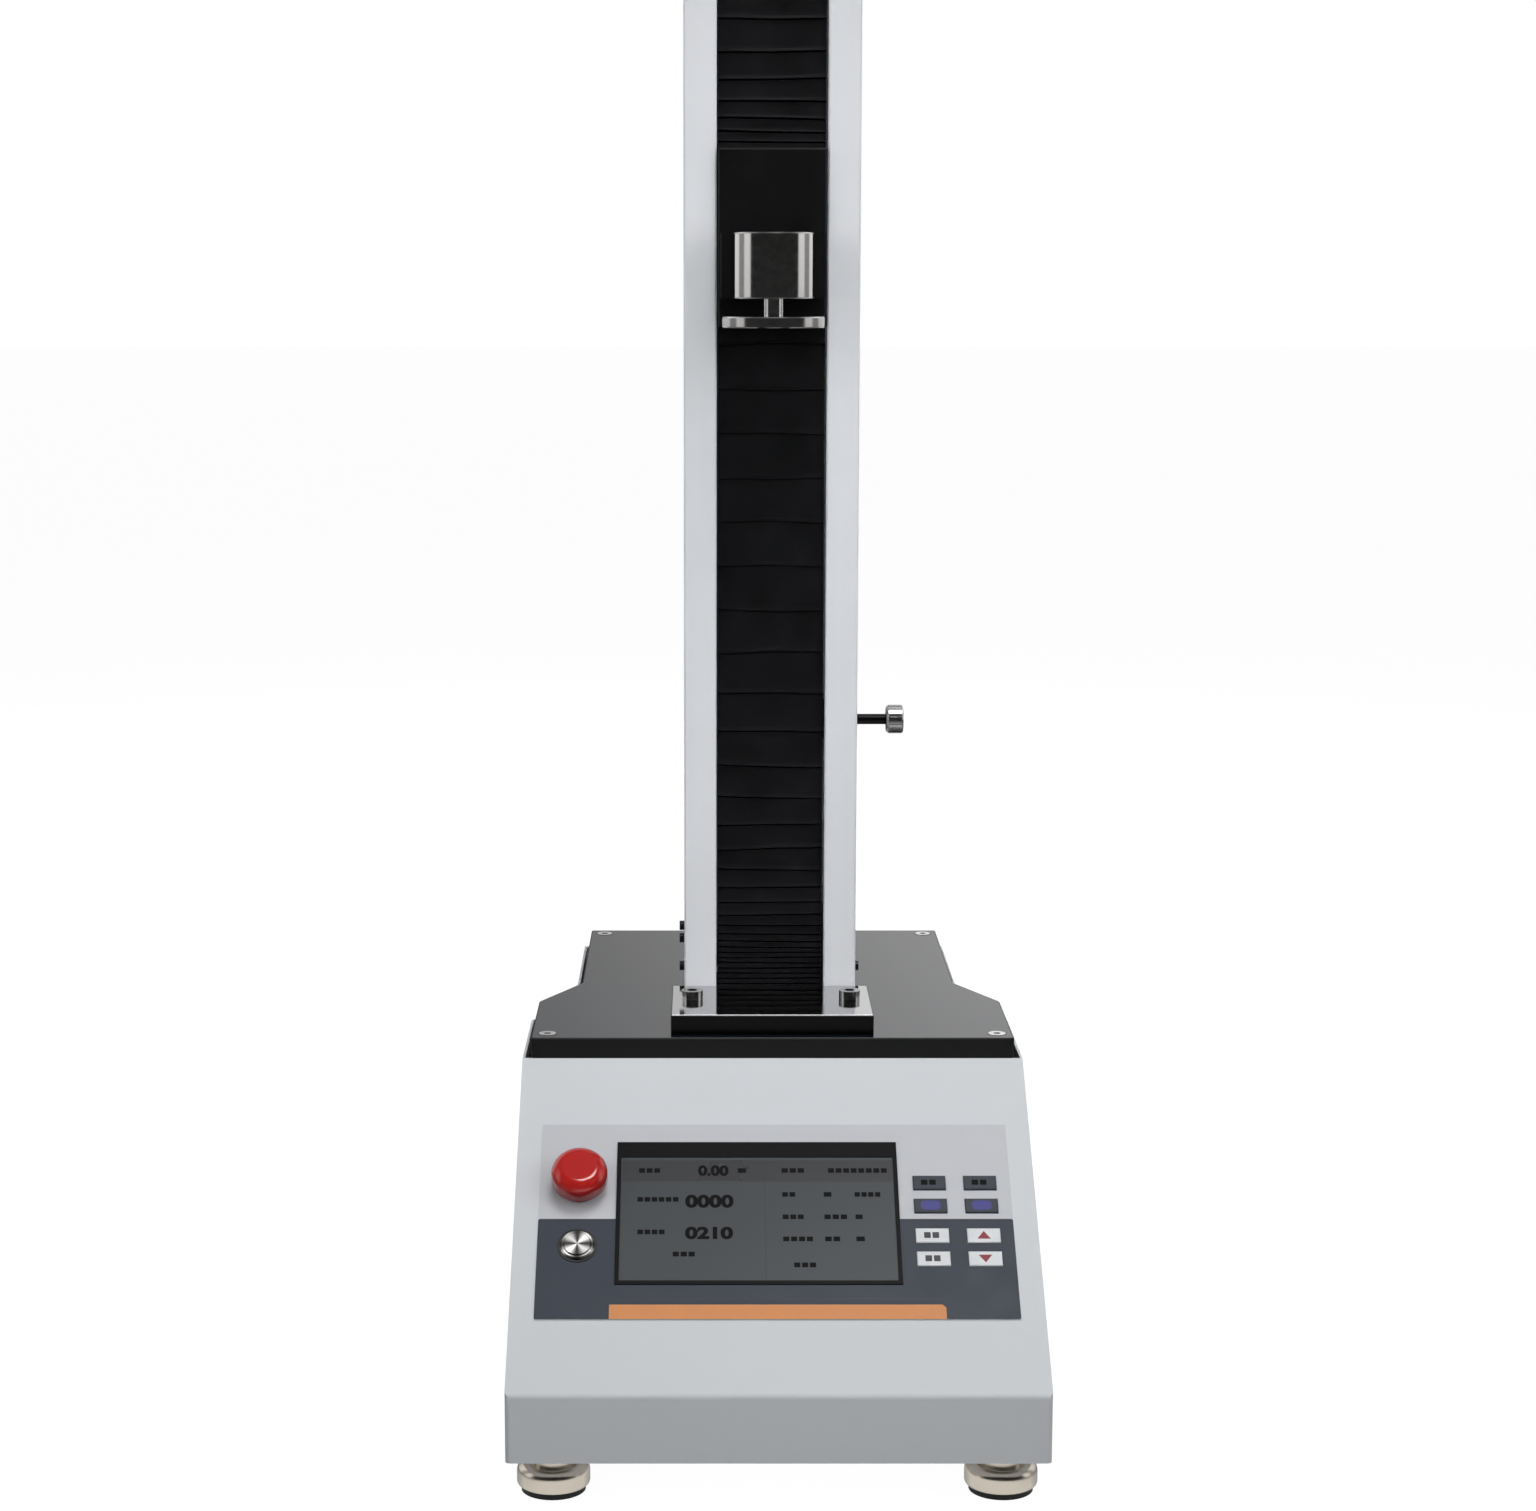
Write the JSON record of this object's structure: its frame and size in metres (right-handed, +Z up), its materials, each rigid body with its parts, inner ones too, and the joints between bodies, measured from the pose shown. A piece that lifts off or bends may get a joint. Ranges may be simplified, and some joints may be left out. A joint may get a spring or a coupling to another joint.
{
  "type": "force test stand",
  "caption": "Motorised single column force test stand: sloped control console, black table, anvil block and a bellows-covered column carrying a load cell and platen",
  "frame": {"origin": "on the floor under the middle of the stand's outline", "axes": "+Z up along the column, the control panel faces -Y, +X to the operator's right"},
  "size_m": [0.3, 0.503, 1.133],
  "materials": {
    "housing_paint": "light grey satin powder coat",
    "bare_steel": "zinc plated",
    "foot_nickel": "satin nickel over a rubber pad",
    "table_black": "glossy black",
    "ground_steel": "ground and polished",
    "screw_steel": "plated",
    "column_aluminium": "fine satin anodised",
    "saddle_aluminium": "machined",
    "carriage_black": "black anodised",
    "guide_steel": "ground",
    "cell_chrome": "turned and polished",
    "limit_steel": "plated, with a dark rod",
    "bellows_black": "black coated cloth",
    "pulley_aluminium": "turned",
    "belt_rubber": "matt",
    "motor_black": "black",
    "supply_case": "perforated sheet case",
    "driver_case": "black finned case",
    "board_green": "green laminate",
    "overlay_film": "printed film",
    "display_black": "black",
    "display_screen": "grey screen",
    "key_dark": "dark grey",
    "key_white": "white",
    "stop_grey": "dark grey",
    "stop_red": "red",
    "button_metal": "turned",
    "inlet_black": "black"
  },
  "bodies": {
    "root": {"housing_shell": "housing_paint", "base_plate": "bare_steel", "frame_posts": "bare_steel", "bearing_block": "bare_steel", "motor_plate": "bare_steel", "table_plate": "table_black", "anvil_block": "ground_steel", "table_screws": "screw_steel", "anvil_screws": "screw_steel", "column_screws": "screw_steel", "column_wall_left": "column_aluminium", "column_wall_right": "column_aluminium", "column_back": "column_aluminium", "top_plate": "column_aluminium", "guide_rails": "guide_steel", "screw_bearings": "guide_steel", "bellows_lower": "bellows_black", "bellows_upper": "bellows_black", "timing_belt": "belt_rubber", "motor": "motor_black", "power_supply": "supply_case", "motor_driver": "driver_case", "controller_board": "board_green", "panel_overlay": "overlay_film", "display_frame": "display_black", "display_glass": "display_screen", "stop_housing": "stop_grey", "power_bezel": "button_metal", "mains_inlet": "inlet_black"},
    "carriage": {"carriage_plate": "carriage_black", "carriage_screws": "screw_steel", "carriage_saddle": "saddle_aluminium", "ball_nut": "guide_steel", "guide_blocks": "guide_steel", "load_arm": "carriage_black", "load_cell": "cell_chrome", "upper_platen": "cell_chrome"},
    "screw_rotor": {"ball_screw": "guide_steel", "screw_pulley": "pulley_aluminium"},
    "motor_rotor": {"motor_pulley": "pulley_aluminium"},
    "limit_lower": {"limit_nut_lower": "limit_steel"},
    "limit_screw_lower": {"limit_screw_lower": "limit_steel"},
    "limit_upper": {"limit_nut_upper": "limit_steel"},
    "limit_screw_upper": {"limit_screw_upper": "limit_steel"},
    "foot_front_left": {"foot_front_left": "foot_nickel"},
    "foot_front_right": {"foot_front_right": "foot_nickel"},
    "foot_rear_left": {"foot_rear_left": "foot_nickel"},
    "foot_rear_right": {"foot_rear_right": "foot_nickel"},
    "key_first_left": {"key_first_left": "key_dark"},
    "key_first_right": {"key_first_right": "key_dark"},
    "key_second_left": {"key_second_left": "key_dark"},
    "key_second_right": {"key_second_right": "key_dark"},
    "key_third_left": {"key_third_left": "key_white"},
    "key_third_right": {"key_third_right": "key_white"},
    "key_fourth_left": {"key_fourth_left": "key_white"},
    "key_fourth_right": {"key_fourth_right": "key_white"},
    "stop_plunger": {"stop_stem": "stop_grey"},
    "stop_knob": {"stop_head": "stop_red"},
    "power_plunger": {"power_cap": "button_metal"},
    "rocker": {"power_rocker": "inlet_black"}
  },
  "joints": [
    {"name": "carriage_travel", "type": "slide", "parent": "root", "child": "carriage", "axis": [0, 0, 1], "range_m": [-0.355, 0.31], "deforming": ["bellows_lower", "bellows_upper"]},
    {"name": "screw_turn", "type": "hinge", "parent": "root", "child": "screw_rotor", "pos_m": [0, 0.07, 0.2], "axis": [0, 0, 1], "continuous": true},
    {"name": "motor_turn", "type": "hinge", "parent": "root", "child": "motor_rotor", "pos_m": [0, 0.152, 0.16], "axis": [0, 0, 1], "continuous": true},
    {"name": "limit_lower_slide", "type": "slide", "parent": "root", "child": "limit_lower", "axis": [0, 0, 1], "range_m": [-0.09, 0.28]},
    {"name": "limit_lower_turn", "type": "hinge", "parent": "limit_lower", "child": "limit_screw_lower", "pos_m": [0.0728, 0.049, 0.396], "axis": [1, 0, 0], "range_deg": [0, 720]},
    {"name": "limit_upper_slide", "type": "slide", "parent": "root", "child": "limit_upper", "axis": [0, 0, 1], "range_m": [-0.28, 0.035]},
    {"name": "limit_upper_turn", "type": "hinge", "parent": "limit_upper", "child": "limit_screw_upper", "pos_m": [0.0728, 0.049, 1.001], "axis": [1, 0, 0], "range_deg": [0, 720]},
    {"name": "foot_front_left_height", "type": "slide", "parent": "root", "child": "foot_front_left", "axis": [0, 0, 1], "range_m": [-0.01, 0.0005]},
    {"name": "foot_front_right_height", "type": "slide", "parent": "root", "child": "foot_front_right", "axis": [0, 0, 1], "range_m": [-0.01, 0.0005]},
    {"name": "foot_rear_left_height", "type": "slide", "parent": "root", "child": "foot_rear_left", "axis": [0, 0, 1], "range_m": [-0.01, 0.0005]},
    {"name": "foot_rear_right_height", "type": "slide", "parent": "root", "child": "foot_rear_right", "axis": [0, 0, 1], "range_m": [-0.01, 0.0005]},
    {"name": "key_first_left_press", "type": "slide", "parent": "root", "child": "key_first_left", "axis": [0, 0.6, -0.8], "range_m": [0, 0.0005], "stiffness_N_per_m": 300, "springref_m": -0.002},
    {"name": "key_first_right_press", "type": "slide", "parent": "root", "child": "key_first_right", "axis": [0, 0.6, -0.8], "range_m": [0, 0.0005], "stiffness_N_per_m": 300, "springref_m": -0.002},
    {"name": "key_second_left_press", "type": "slide", "parent": "root", "child": "key_second_left", "axis": [0, 0.6, -0.8], "range_m": [0, 0.0005], "stiffness_N_per_m": 300, "springref_m": -0.002},
    {"name": "key_second_right_press", "type": "slide", "parent": "root", "child": "key_second_right", "axis": [0, 0.6, -0.8], "range_m": [0, 0.0005], "stiffness_N_per_m": 300, "springref_m": -0.002},
    {"name": "key_third_left_press", "type": "slide", "parent": "root", "child": "key_third_left", "axis": [0, 0.6, -0.8], "range_m": [0, 0.0005], "stiffness_N_per_m": 300, "springref_m": -0.002},
    {"name": "key_third_right_press", "type": "slide", "parent": "root", "child": "key_third_right", "axis": [0, 0.6, -0.8], "range_m": [0, 0.0005], "stiffness_N_per_m": 300, "springref_m": -0.002},
    {"name": "key_fourth_left_press", "type": "slide", "parent": "root", "child": "key_fourth_left", "axis": [0, 0.6, -0.8], "range_m": [0, 0.0005], "stiffness_N_per_m": 300, "springref_m": -0.002},
    {"name": "key_fourth_right_press", "type": "slide", "parent": "root", "child": "key_fourth_right", "axis": [0, 0.6, -0.8], "range_m": [0, 0.0005], "stiffness_N_per_m": 300, "springref_m": -0.002},
    {"name": "stop_press", "type": "slide", "parent": "root", "child": "stop_plunger", "axis": [0, 0.6, -0.8], "range_m": [0, 0.0031]},
    {"name": "stop_twist", "type": "hinge", "parent": "stop_plunger", "child": "stop_knob", "pos_m": [-0.1127, -0.13862, 0.15016], "axis": [0, -0.6, 0.8], "range_deg": [-35, 0], "stiffness_Nm_per_rad": 0.02, "springref_deg": 5.73},
    {"name": "power_press", "type": "slide", "parent": "root", "child": "power_plunger", "axis": [0, 0.6, -0.8], "range_m": [0, 0.0025], "stiffness_N_per_m": 300, "springref_m": -0.002},
    {"name": "rocker_tip", "type": "hinge", "parent": "root", "child": "rocker", "pos_m": [0.062, 0.247, 0.074], "axis": [1, 0, 0], "range_deg": [-18, 0]}
  ],
  "couplings": [
    {"joint": "screw_turn", "follows": "carriage_travel", "rad_per_m": 628.32},
    {"joint": "motor_turn", "follows": "carriage_travel", "rad_per_m": 628.32}
  ]
}
